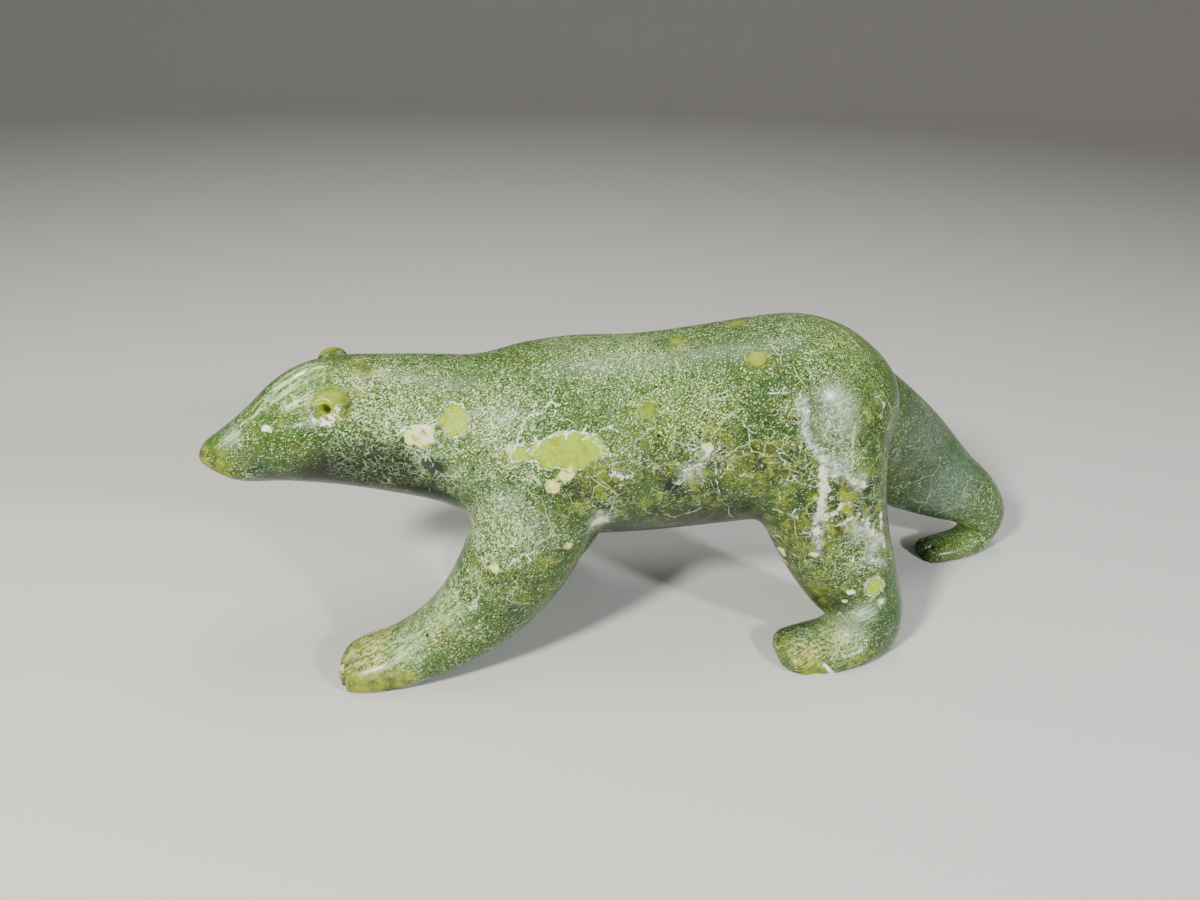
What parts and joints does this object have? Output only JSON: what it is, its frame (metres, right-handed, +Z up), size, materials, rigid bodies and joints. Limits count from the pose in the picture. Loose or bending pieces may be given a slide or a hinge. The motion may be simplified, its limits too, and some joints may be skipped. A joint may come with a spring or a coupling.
{
  "type": "bear carving",
  "caption": "Carved green stone bear in one solid piece, striding with its head held low, standing on the flat soles of its four paws.",
  "frame": {"origin": "on the ground plane, under the middle of the bear's bounding box", "axes": "+X from the head toward the tail, +Y toward the bear's right side, +Z up"},
  "size_m": [0.3186, 0.0866, 0.1192],
  "materials": {
    "stone": "polished and waxed, mottled green with white veins"
  },
  "bodies": {
    "root": {"bear": "stone"}
  },
  "joints": []
}
